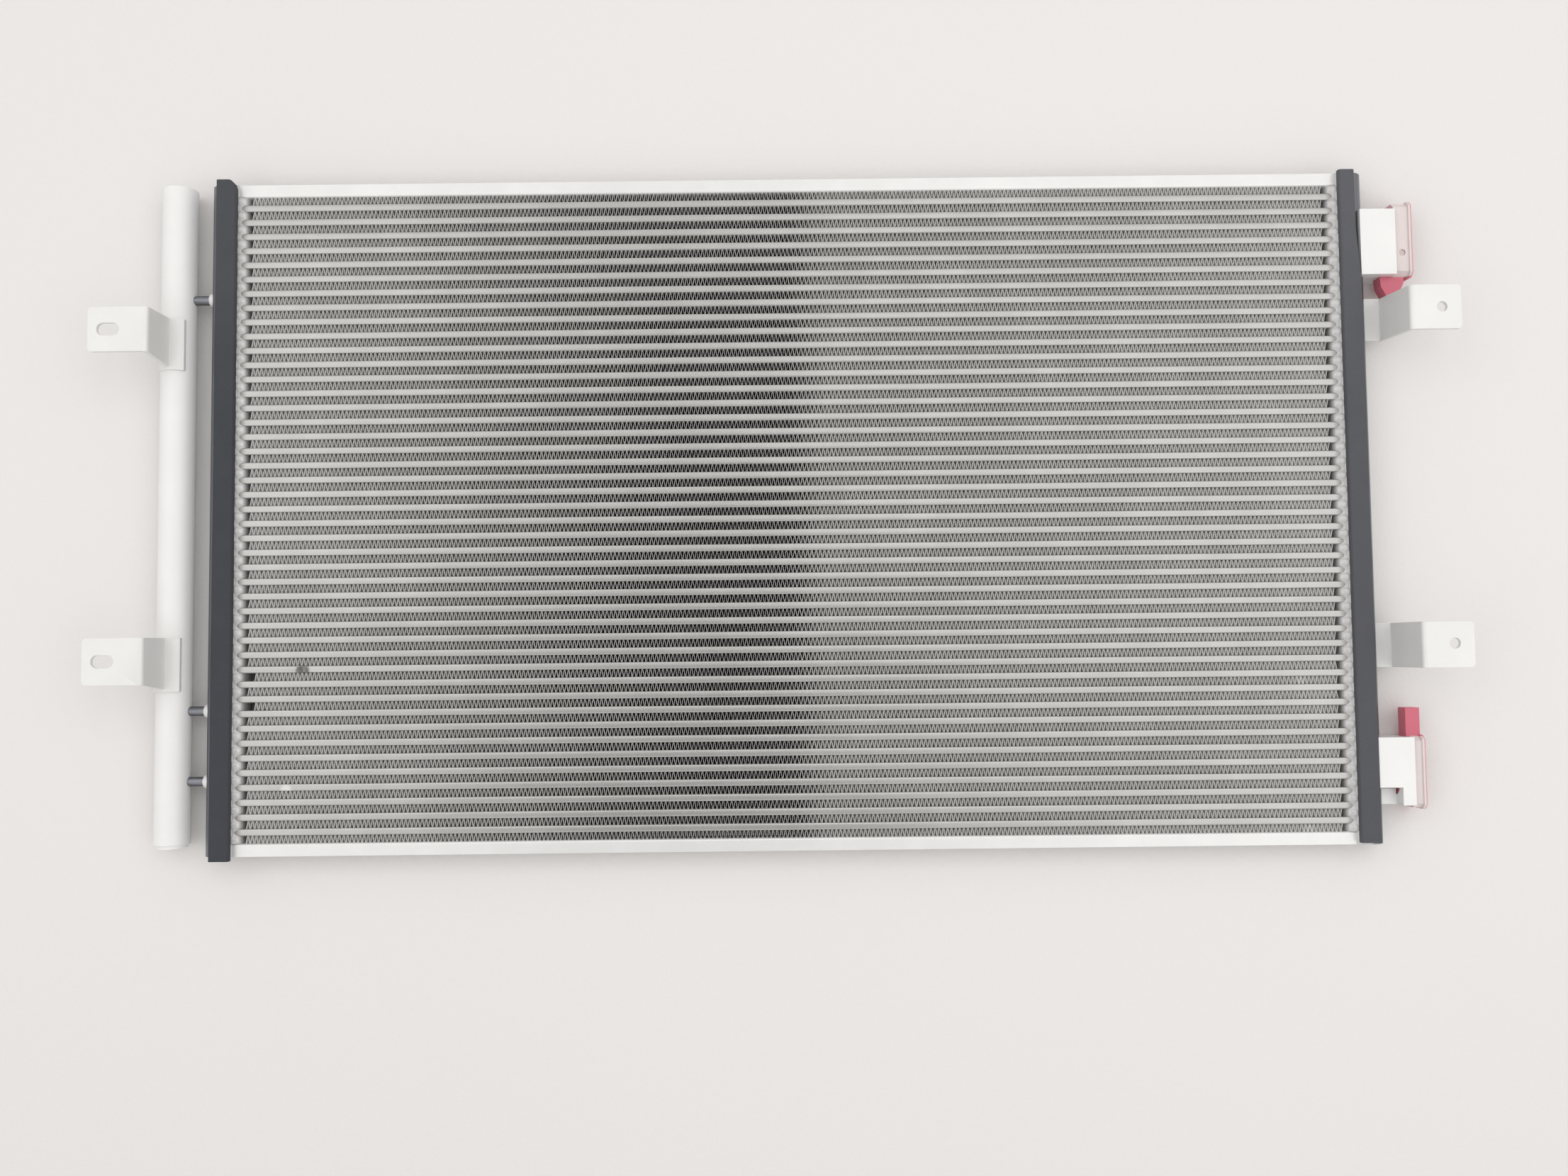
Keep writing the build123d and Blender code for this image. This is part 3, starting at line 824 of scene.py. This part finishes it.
# %% [markdown]
# ## Pressed lands of the headers
# Each header takes the ends of all the flat tubes in slots that are pressed into its core
# side. The pressing leaves a rounded land between every two tubes, and from above the
# lands show as a row of bright beads beside the foam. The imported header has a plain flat
# side there, so the lands are a piece of their own that grows out of it. A half ring of
# points, nearly square, is repeated close along the header, and over each tube its upper
# and lower sides sink in.

# %% Pressed lands
LAND_POWER = 5.0
LAND_REACH = 6.2 * MM
LAND_INSET = 0.05 * MM
SLOT_SINK = 2.1 * MM
SLOT_HALF = 3.7 * MM
LAND_STEPS = 24
LAND_STATIONS = 14


def header_axis(node):
    """Middle of the round part of a header, its radius, and the side it stands on."""
    low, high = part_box(node)
    radius = (high.z - low.z) / 2
    side = 1 if low.x > 0 else -1
    x = high.x - radius if side > 0 else low.x + radius
    return x, radius, side


def slot_share(y):
    """1 over the middle of a tube, 0 on the land between two tubes."""
    from_tube = abs((tube_y(1) - y + TUBE_PITCH / 2) % TUBE_PITCH - TUBE_PITCH / 2)
    return max(0.0, 1 - (from_tube / SLOT_HALF) ** 2)


def land_ring(node, y):
    """Points across the lands at a height, from over the header's axis to under it."""
    x, radius, side = header_axis(node)
    low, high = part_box(node)
    reach = (high.x - low.x) - radius + LAND_REACH
    points = []
    for index in range(LAND_STEPS + 1):
        rise, inward = soft_square(math.pi * index / LAND_STEPS, LAND_POWER)
        inward = abs(inward)
        height = radius - LAND_INSET - SLOT_SINK * slot_share(y) * inward
        points.append((x - side * inward * reach, CORE_Z + rise * height))
    return points


def make_lands(node):
    """The lands of a header, between the two side plates."""
    count = LAND_STATIONS * (TUBE_COUNT + 1)
    mesh = bmesh.new()
    rings = []
    for index in range(count + 1):
        y = CORE_LOW_Y + (CORE_TOP_Y - CORE_LOW_Y) * index / count
        rings.append([mesh.verts.new((x, y, z)) for x, z in land_ring(node, y)])
    skin(mesh, rings)
    make_piece(f"{node}_lands", mesh, METALS["header"], "header_aluminium")


make_lands("header_left")
make_lands("header_right")

# %% [markdown]
# ## Braze collars
# Where the receiver's necks and its support meet the header, a collar of braze metal has
# run round them. It shows beside the foam as a small bright ellipse. It is a row of
# circles about the neck's axis, thick at the header and thin where it ends on the neck.

# %% Braze collars
COLLAR_STEPS = 32
COLLAR_PROFILE = 8
COLLAR_RISE = 1.8 * MM
COLLAR_LENGTH = 2.4 * MM
COLLAR_ROOT = 3.0 * MM
COLLAR_FULLNESS = 3


def make_collar(node):
    """A collar round a neck, against the left header."""
    low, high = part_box(node)
    axis_y, axis_z = (low.y + high.y) / 2, (low.z + high.z) / 2
    neck_radius = (high.y - low.y) / 2
    header_x, header_radius, _ = header_axis("header_left")
    root_x = header_x - header_radius + COLLAR_ROOT
    mesh = bmesh.new()
    rings = []
    for index in range(COLLAR_PROFILE + 1):
        share = index / COLLAR_PROFILE
        x = root_x - share * (COLLAR_ROOT + COLLAR_LENGTH)
        radius = neck_radius + COLLAR_RISE * math.sqrt(1 - share**COLLAR_FULLNESS)
        ring = []
        for turn in range(COLLAR_STEPS):
            angle = 2 * math.pi * turn / COLLAR_STEPS
            place = (x, axis_y + radius * math.cos(angle), axis_z + radius * math.sin(angle))
            ring.append(mesh.verts.new(place))
        rings.append(ring)
    skin(mesh, rings)
    make_piece(f"braze_collar_{node}", mesh, METALS["bracket"], "header_aluminium")


for node in ("receiver_support", "neck_to_receiver", "neck_from_receiver"):
    make_collar(node)

# %% [markdown]
# ## Softened edges
# Sheet metal, machined blocks and mouldings never have knife edges: a narrow rounding
# catches the light along every corner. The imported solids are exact, so a copy of their
# mesh is welded, its flat facets are joined again, and a Bevel modifier rounds what is
# left sharp.

# %% Pieces with softened edges
WELD = 0.002 * MM
FLAT_ANGLE = math.radians(0.6)
SHARP_ANGLE = math.radians(28)
ROUNDING_STEPS = 3
LUGS = ("left_upper", "left_lower", "right_upper", "right_lower")
PORTS = ("inlet", "outlet")
SOFTENED = (
    ("bracket_{}", LUGS, 0.35 * MM, "bracket_aluminium"),
    ("{}_block", PORTS, 0.30 * MM, "block_aluminium"),
    ("{}_dust_cap", PORTS, 0.40 * MM, "cap_plastic"),
)


def softened(node, width, slot):
    """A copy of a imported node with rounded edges, which stands for it."""
    mesh = bmesh.new()
    mesh.from_mesh(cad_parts[node].data)
    bmesh.ops.remove_doubles(mesh, verts=mesh.verts, dist=WELD)
    bmesh.ops.dissolve_limit(
        mesh, angle_limit=FLAT_ANGLE, verts=mesh.verts, edges=mesh.edges, use_dissolve_boundaries=False
    )
    piece = make_piece(f"{node}_softened", mesh, finish_for(node), slot, node)
    rounding = piece.modifiers.new("rounding", "BEVEL")
    rounding.limit_method = "ANGLE"
    rounding.angle_limit = SHARP_ANGLE
    rounding.width = width
    rounding.segments = ROUNDING_STEPS
    rounding.harden_normals = True


for pattern, places, width, slot in SOFTENED:
    for place in places:
        softened(pattern.format(place), width, slot)

# %% [markdown]
# ## Foam seal strips
# Each strip was cut from a sheet, stuck on the header and pressed down by hand. Its top
# edges are soft, and its underside is hollow to fit the header. The left strip has a cut
# corner, and the right one narrows beside the inlet. Two functions say this: one gives
# the sides of a strip at a height, the other the ring of points between them.

# %% Section of a foam strip
FOAM_EDGE = 1.6 * MM
FOAM_EDGE_STEPS = 4
FOAM_UNDER_STEPS = 8
NARROW_FROM_Y, NARROW_TO_Y = 152 * MM, 192 * MM
NARROWER = 3.0 * MM
CORNER_CUT = 4.0 * MM


def foam_sides(node, y):
    """Left and right side of a strip at a height on the picture."""
    low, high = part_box(node)
    left, right = low.x, high.x
    if node == "foam_strip_right":
        right -= NARROWER * between(y, NARROW_FROM_Y, NARROW_TO_Y)
    else:
        right -= max(0.0, y - (high.y - CORNER_CUT))
    return left, right


def foam_ring(left, right, bottom, top, header_x, header_radius):
    """Points across a strip: soft upper edges and a hollow that fits the header."""
    points = []
    for centre, start in ((left + FOAM_EDGE, math.pi), (right - FOAM_EDGE, math.pi / 2)):
        for index in range(FOAM_EDGE_STEPS + 1):
            angle = start - math.pi / 2 * index / FOAM_EDGE_STEPS
            rise = math.sin(angle) * FOAM_EDGE
            points.append((centre + math.cos(angle) * FOAM_EDGE, top - FOAM_EDGE + rise))
    for index in range(FOAM_UNDER_STEPS + 1):
        x = right + (left - right) * index / FOAM_UNDER_STEPS
        inside = header_radius**2 - (x - header_x) ** 2
        crest = CORE_Z + math.sqrt(max(0.0, inside))
        points.append((x, max(bottom, crest)))
    return points


print("the right strip narrows by", round(NARROWER / MM, 1), "mm")

# %% [markdown]
# The ring is repeated along the strip. Slow noise draws the sides and the top in by a
# hair, differently at every ring, so that the strip looks cut and pressed by hand.

# %% Foam strips
FOAM_STATION = 3.0 * MM
FOAM_WANDER = 0.25 * MM
WANDER_RATE = 30
WANDER_SEEDS = (1.5, 4.5, 7.5)


def make_foam(node, header):
    """A foam strip between its sides, from its lower to its upper end."""
    low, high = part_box(node)
    header_x, header_radius, _ = header_axis(header)
    mesh = bmesh.new()
    stations = round((high.y - low.y) / FOAM_STATION)
    rings = []
    for index in range(stations + 1):
        y = low.y + (high.y - low.y) * index / stations
        left, right = foam_sides(node, y)
        sway = [abs(noise.noise(Vector((y * WANDER_RATE, seed, 0)))) for seed in WANDER_SEEDS]
        left += FOAM_WANDER * sway[0]
        right -= FOAM_WANDER * sway[1]
        top = high.z - FOAM_WANDER * sway[2]
        ring = foam_ring(left, right, low.z, top, header_x, header_radius)
        rings.append([mesh.verts.new((x, y, z)) for x, z in ring])
    skin(mesh, rings)
    piece = make_piece(f"{node}_cut_foam", mesh, FOAM, "foam", node)


make_foam("foam_strip_left", "header_left")
make_foam("foam_strip_right", "header_right")

# %% [markdown]
# ## Mat
# The coil lies on a pale mat. Its material has a faint cloudiness and fine fibres, so
# that it doesn't look like a blank sheet.

# %% Mat
FLOOR_COLOUR = (0.76, 0.742, 0.728)
FLOOR_DARKER = 0.96
FLOOR_HALF = 4.0
FLOOR_DROP = 0.3 * MM
FIBRE_SIZE, FLOOR_CLOUD_SIZE, FIBRE_RELIEF = 4 * MM, 350 * MM, 0.3 * MM


def make_floor():
    """Pale mat, a hair below the coil."""
    mesh = bmesh.new()
    corners = ((-1, -1), (1, -1), (1, 1), (-1, 1))
    places = [(x * FLOOR_HALF, y * FLOOR_HALF, -FLOOR_DROP) for x, y in corners]
    mesh.faces.new([mesh.verts.new(place) for place in places])
    data = bpy.data.meshes.new("mat")
    mesh.to_mesh(data)
    mesh.free()
    floor = bpy.data.objects.new("mat", data)
    bpy.context.scene.collection.objects.link(floor)
    material, place = new_material("pale_mat")
    fibres = speckle(place, FIBRE_SIZE, 4.0, 0.6)
    clouds = speckle(place, FLOOR_CLOUD_SIZE, 3.0, 0.5)
    darker = tuple(FLOOR_DARKER * part for part in FLOOR_COLOUR)
    surface = {
        "Base Color": mix(fibres * 0.3 + clouds * 0.4, FLOOR_COLOUR, darker),
        "Roughness": 0.9,
        "Normal": bump(fibres, FIBRE_RELIEF),
    }
    give_finish(floor, finish(material, place, surface))


make_floor()
print("mat", 2 * FLOOR_HALF, "m wide")

# %% [markdown]
# ## Lamps
# The light is soft and comes from above: a ceiling of wide level lamps with a dark gap
# over the left half of the core, wider at its foot. The gap is why the middle of the core
# is darker, as in the photograph, because the flat noses of the tubes mirror what hangs
# above them. The power of an area lamp grows with its area, so that all parts of the
# ceiling glow alike. Only the one over the middle is brighter, which lights the leaning
# fins there.

# %% Lamps
LAMP_HEIGHT = 1.30
LAMP_DEPTH = 1.8
LAMP_REACH = 1.5
DARK_GAP = (-0.27, -0.03)
DARK_FOOT = (-0.60, 0.25)
DARK_FOOT_TOP = -0.12
LAMP_GLOW, MIDDLE_GLOW = 3.3, 5.0
WHOLE_DEPTH = (-LAMP_DEPTH / 2, LAMP_DEPTH / 2)
SHORT_DEPTH = (DARK_FOOT_TOP, LAMP_DEPTH / 2)
LAMPS = {
    "left_lamp": ((-LAMP_REACH, DARK_FOOT[0]), WHOLE_DEPTH, LAMP_GLOW),
    "left_short_lamp": ((DARK_FOOT[0], DARK_GAP[0]), SHORT_DEPTH, LAMP_GLOW),
    "middle_lamp": ((DARK_GAP[1], DARK_FOOT[1]), SHORT_DEPTH, MIDDLE_GLOW),
    "right_lamp": ((DARK_FOOT[1], LAMP_REACH), WHOLE_DEPTH, LAMP_GLOW),
}


def make_lamp(name, across, along, glow):
    """Wide soft lamp that hangs level above the coil and shines down."""
    data = bpy.data.lights.new(name, "AREA")
    data.shape = "RECTANGLE"
    data.size = across[1] - across[0]
    data.size_y = along[1] - along[0]
    data.energy = glow * data.size * data.size_y
    lamp = bpy.data.objects.new(name, data)
    lamp.location = (sum(across) / 2, sum(along) / 2, LAMP_HEIGHT)
    lamp.visible_camera = False
    bpy.context.scene.collection.objects.link(lamp)
    print(name, round(data.size, 2), "x", round(data.size_y, 2), "m")


for name, (across, along, glow) in LAMPS.items():
    make_lamp(name, across, along, glow)

# %% [markdown]
# ## World
# Past the lamps the room itself sends light. It is bright halfway up, a little dimmer
# along the walls, which the upright sides of the brackets and the receiver face, and dim
# straight overhead. The height of a direction chooses the strength of the background.

# %% World
WORLD_COLOUR = (1.0, 0.985, 0.97, 1)
WALL_LEVEL, SKY_LEVEL, ZENITH_LEVEL = 0.72, 0.95, 0.20
SKY_FROM, SKY_TO = 0.20, 0.50
ZENITH_FROM, ZENITH_TO = 0.80, 0.93


def make_world():
    """Pale room that is bright all round and dimmer straight overhead."""
    world = bpy.data.worlds.new("pale_room")
    world.use_nodes = True
    world.node_tree.nodes.clear()
    direction = Signal(world.node_tree).node("ShaderNodeTexCoord", output="Generated")
    upward = coordinate(direction, 2)
    level = WALL_LEVEL + step(upward, SKY_FROM, SKY_TO) * (SKY_LEVEL - WALL_LEVEL)
    level = level + step(upward, ZENITH_FROM, ZENITH_TO) * (ZENITH_LEVEL - SKY_LEVEL)
    glow = {"Color": WORLD_COLOUR, "Strength": level}
    shine = direction.node("ShaderNodeBackground", None, glow)
    shine.node("ShaderNodeOutputWorld", None, {"Surface": shine})
    bpy.context.scene.world = world


make_world()
bpy.context.scene.view_settings.view_transform = "Standard"
print("world", bpy.context.scene.world.name)
